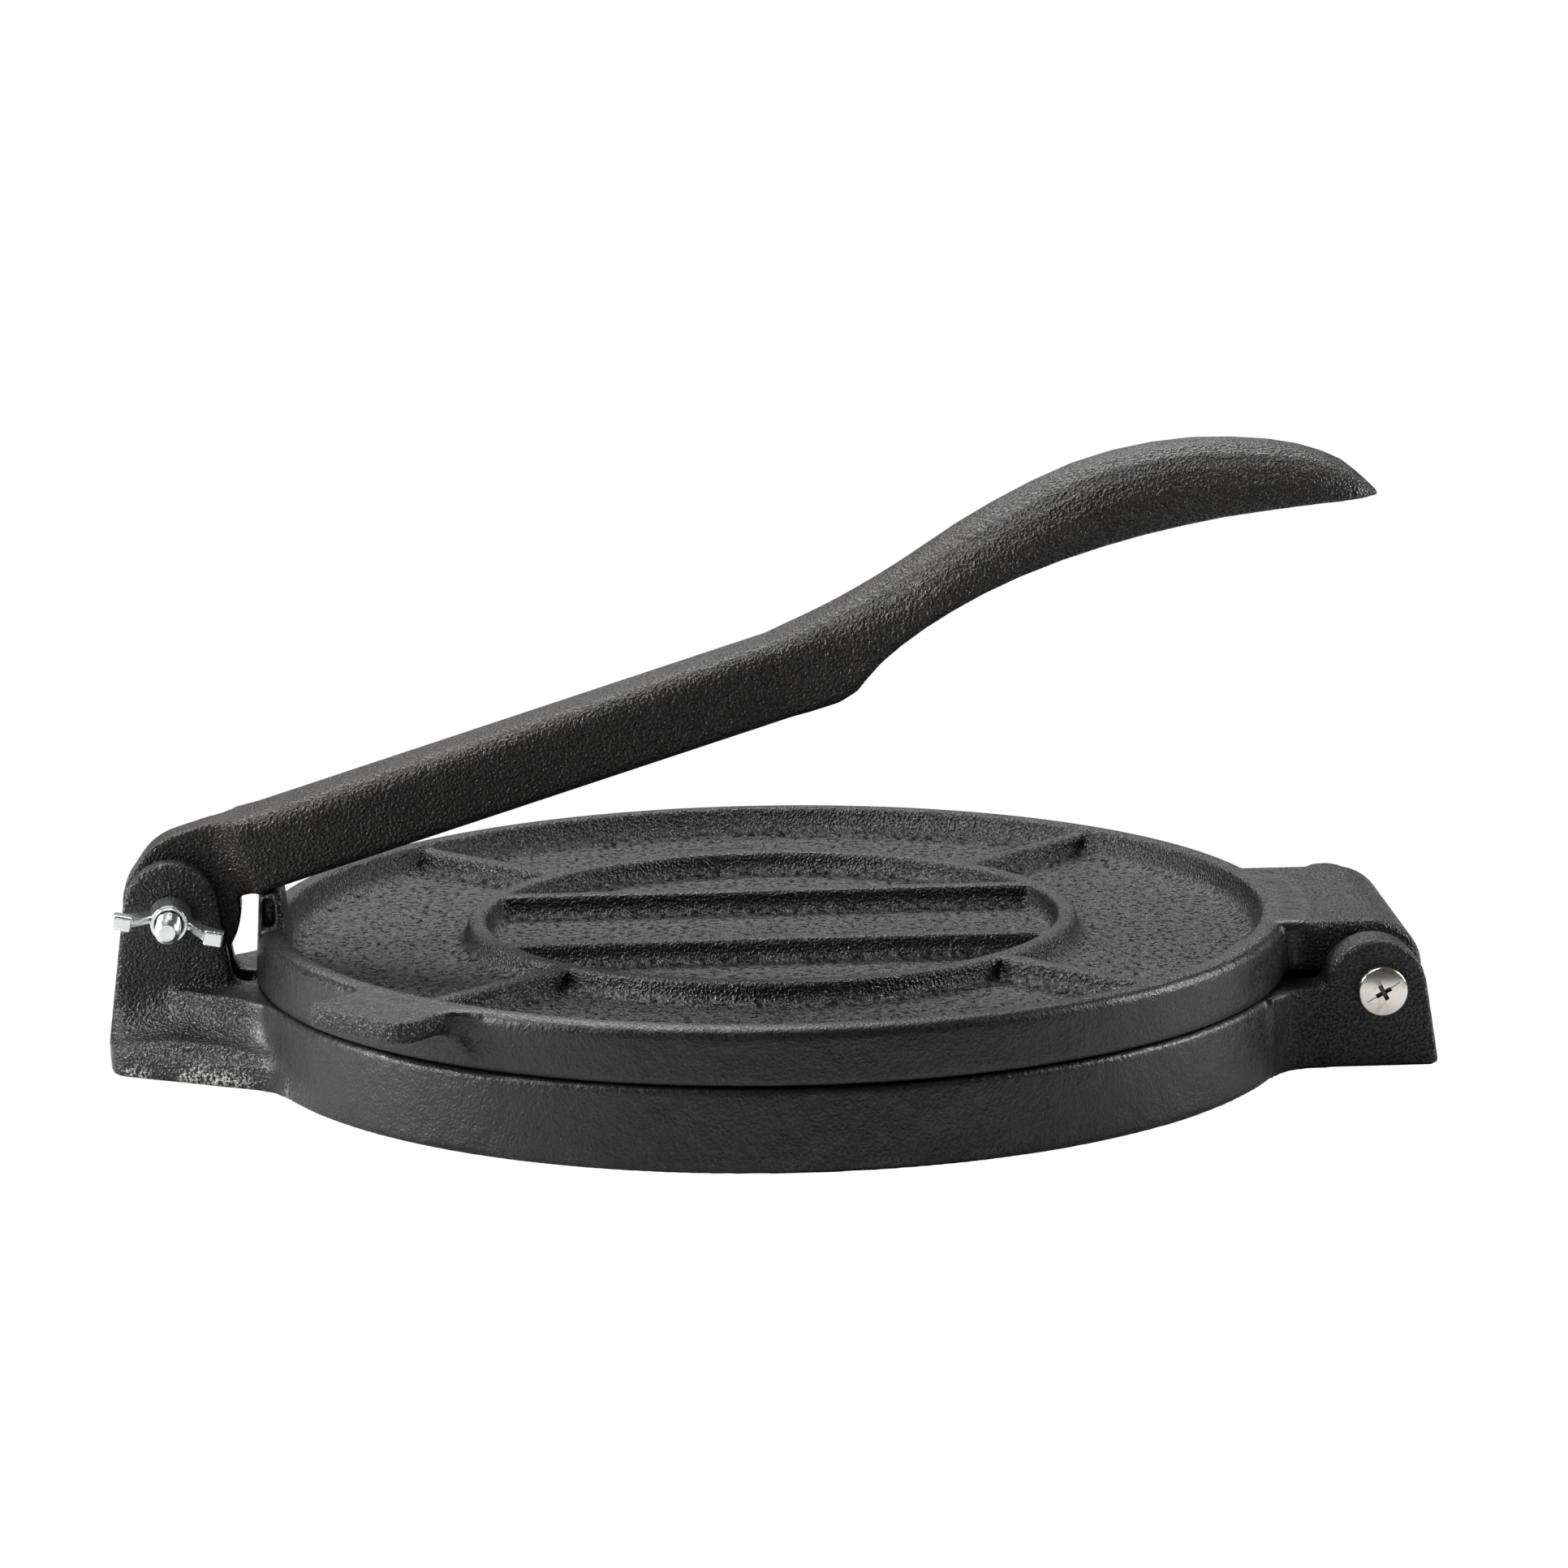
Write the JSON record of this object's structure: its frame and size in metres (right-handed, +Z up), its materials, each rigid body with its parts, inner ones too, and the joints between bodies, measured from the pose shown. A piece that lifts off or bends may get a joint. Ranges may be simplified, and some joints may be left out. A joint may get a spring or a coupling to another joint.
{
  "type": "tortilla press",
  "caption": "Cast-iron hand press: round base plate and hinged ribbed lid plate, closed by a cranked lever pinned in a stand opposite the hinge.",
  "frame": {"origin": "on the table plane, under the middle of the press's overall length, 2 mm from the middle of the round plates", "axes": "+X from the lever's pivot to the lid's hinge, +Y away from the viewer of the picture, +Z up"},
  "size_m": [0.2572, 0.2058, 0.1181],
  "materials": {
    "black_iron": "sand-cast grain under a black seasoned coat, satin",
    "lever_iron": "sand-cast grain under a slightly brown seasoned coat, satin",
    "nickel": "bright plated steel",
    "zinc": "dull zinc-plated steel"
  },
  "bodies": {
    "stand": {"base": "black_iron", "lid_hinge_screw": "nickel", "lid_hinge_nut": "zinc", "lever_bolt": "nickel", "lever_wing_nut": "zinc"},
    "lid": {"lid_plate": "black_iron"},
    "lever": {"lever": "lever_iron"}
  },
  "joints": [
    {"name": "lever_hinge", "type": "hinge", "parent": "stand", "child": "lever", "pos_m": [-0.11567, 0, 0.02985], "axis": [0, -1, 0], "range_deg": [0, 162]},
    {"name": "lid_hinge", "type": "hinge", "parent": "stand", "child": "lid", "pos_m": [0.11743, 0, 0.0152], "axis": [0, 1, 0], "range_deg": [0, 110]}
  ],
  "couplings": [
    {"joint": "lid_hinge", "follows": "lever_hinge", "ratio": 0.06}
  ]
}
